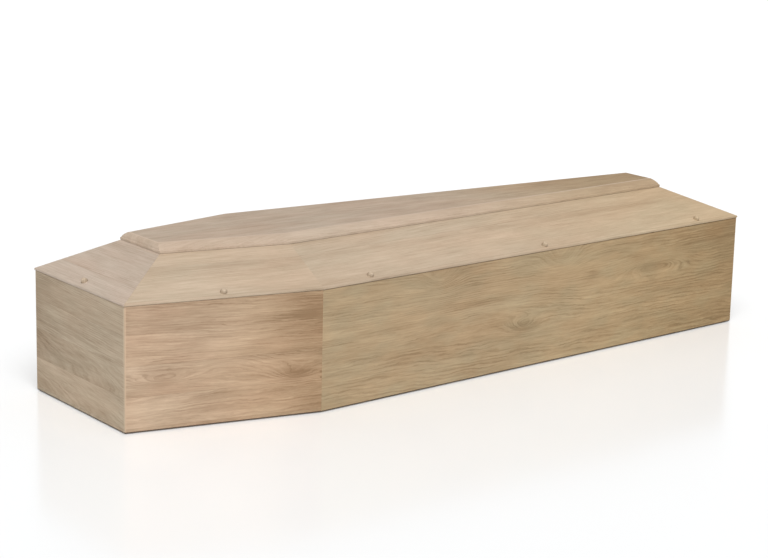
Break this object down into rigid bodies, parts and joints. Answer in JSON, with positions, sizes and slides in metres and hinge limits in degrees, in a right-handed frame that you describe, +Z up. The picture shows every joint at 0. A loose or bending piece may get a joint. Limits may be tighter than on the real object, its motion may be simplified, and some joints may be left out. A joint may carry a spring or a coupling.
{
  "type": "coffin",
  "caption": "Shouldered coffin of pale oak boards: a hollow six-sided case under a sloping lid with a raised, moulded top panel, which lifts off.",
  "frame": {"origin": "on the floor, midway along and across the coffin", "axes": "+Z up, +X from the head end to the foot end, +Y to the left hand of one who lies in it"},
  "size_m": [2.002, 0.644, 0.4081],
  "materials": {
    "case_oak": "matt, limed, greyish tan",
    "head_side_oak": "matt, limed, warm tan",
    "end_oak": "matt, limed, grey brown",
    "lid_oak": "matt, limed, pale",
    "panel_oak": "matt, limed, greyish",
    "plug_oak": "matt, pale"
  },
  "bodies": {
    "root": {"base_board": "case_oak", "head_end_board": "end_oak", "foot_end_board": "end_oak", "right_head_side_board": "head_side_oak", "left_head_side_board": "head_side_oak", "right_foot_side_board": "case_oak", "left_foot_side_board": "case_oak", "lid_head_end_slope": "lid_oak", "lid_foot_end_slope": "lid_oak", "lid_right_head_side_slope": "lid_oak", "lid_left_head_side_slope": "lid_oak", "lid_right_foot_side_slope": "lid_oak", "lid_left_foot_side_slope": "lid_oak", "lid_top_panel": "panel_oak", "lid_plug_head_end": "plug_oak", "lid_plug_foot_end": "plug_oak", "lid_plug_right_head_side": "plug_oak", "lid_plug_left_head_side": "plug_oak", "lid_plug_right_foot_side_1": "plug_oak", "lid_plug_right_foot_side_2": "plug_oak", "lid_plug_right_foot_side_3": "plug_oak", "lid_plug_left_foot_side_1": "plug_oak", "lid_plug_left_foot_side_2": "plug_oak", "lid_plug_left_foot_side_3": "plug_oak"}
  },
  "joints": []
}
